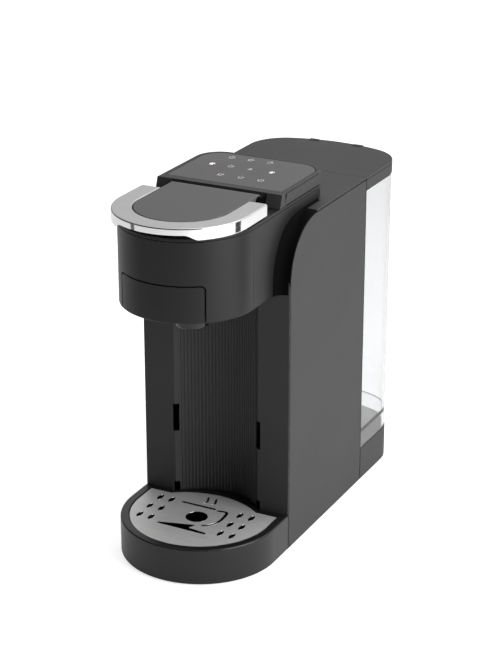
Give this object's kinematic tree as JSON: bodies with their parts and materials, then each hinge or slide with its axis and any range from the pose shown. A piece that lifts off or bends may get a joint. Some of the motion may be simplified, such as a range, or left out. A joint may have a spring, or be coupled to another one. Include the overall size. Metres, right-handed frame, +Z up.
{
  "type": "pod coffee machine",
  "caption": "Slim pod coffee machine: hinged lid with chrome handle, touch console, clear rear water tank and hook-on drip tray with steel grate.",
  "frame": {"origin": "on the floor at the middle of the bounding box", "axes": "+Z up, the front with the spout towards -Y, +X to the right as seen from the front"},
  "size_m": [0.13, 0.3296, 0.2955],
  "materials": {
    "casing": "fine matt dark grey moulding",
    "dark_casing": "satin black moulding",
    "panel_gloss": "smooth black",
    "clear_tank": "clear moulded plastic",
    "chrome": "bright chrome outside, satin on top",
    "satin_steel": "satin stainless steel",
    "rubber": "black rubber",
    "silicone": "translucent silicone",
    "white_plastic": "natural white plastic",
    "brass": "brass and steel pump",
    "aluminium": "cast aluminium",
    "circuit_board": "green board"
  },
  "bodies": {
    "root": {"left_side_panel": "casing", "right_side_panel": "casing", "console_housing": "casing", "tank_pedestal": "casing", "front_shroud": "dark_casing", "base_plate": "dark_casing", "tank_bay_wall": "dark_casing", "head_shell": "dark_casing", "head_bottom": "dark_casing", "head_deck": "dark_casing", "console_band": "dark_casing", "pod_holder": "dark_casing", "brew_funnel": "dark_casing", "tank_seat": "dark_casing", "inner_chassis": "dark_casing", "touch_panel": "panel_gloss", "spout": "panel_gloss", "touch_board": "circuit_board", "main_board": "circuit_board", "lid_hinge_pin": "satin_steel", "lower_needle": "satin_steel", "base_screw_front_left": "satin_steel", "base_screw_front_right": "satin_steel", "base_screw_rear_left": "satin_steel", "base_screw_rear_right": "satin_steel", "lid_switch": "white_plastic", "flow_meter": "white_plastic", "hose_fitting": "white_plastic", "thermal_fuse": "white_plastic", "seat_seal": "silicone", "feed_hose": "silicone", "pump_hose": "silicone", "pressure_hose": "silicone", "brew_hose": "silicone", "pump_bracket": "rubber", "cord_gland": "rubber", "foot_front_left": "rubber", "foot_front_right": "rubber", "foot_rear_left": "rubber", "foot_rear_right": "rubber", "pump": "brass", "heater_block": "aluminium", "thermostat": "aluminium"},
    "lid": {"lid_panel": "casing", "lid_handle": "chrome", "lid_inner_plate": "dark_casing", "upper_needle": "satin_steel", "lid_seal": "silicone", "lid_latch": "white_plastic"},
    "spout_cover": {"spout_cover": "dark_casing"},
    "tank": {"water_tank": "clear_tank", "tank_valve": "white_plastic", "tank_strainer": "white_plastic", "valve_spring": "satin_steel"},
    "tank_lid": {"tank_lid": "casing", "tank_lid_pin_left": "satin_steel", "tank_lid_pin_right": "satin_steel"},
    "drip_tray": {"drip_tray": "dark_casing"},
    "drip_grate": {"drip_grate": "satin_steel"}
  },
  "joints": [
    {"name": "lid_hinge", "type": "hinge", "parent": "root", "child": "lid", "pos_m": [0, -0.0628, 0.2893], "axis": [-1, 0, 0], "range_deg": [0, 85]},
    {"name": "spout_cover_pull", "type": "slide", "parent": "root", "child": "spout_cover", "axis": [0, -1, 0], "range_m": [0, 0.012]},
    {"name": "tank_lift", "type": "slide", "parent": "root", "child": "tank", "axis": [0, 0, 1], "range_m": [0, 0.05]},
    {"name": "tank_lid_hinge", "type": "hinge", "parent": "tank", "child": "tank_lid", "pos_m": [0, 0.1612, 0.2712], "axis": [-1, 0, 0], "range_deg": [0, 95]},
    {"name": "drip_tray_slide", "type": "slide", "parent": "root", "child": "drip_tray", "axis": [0, -1, 0], "range_m": [0, 0.08]},
    {"name": "drip_grate_lift", "type": "slide", "parent": "drip_tray", "child": "drip_grate", "axis": [0, 0, 1], "range_m": [0, 0.03]}
  ]
}
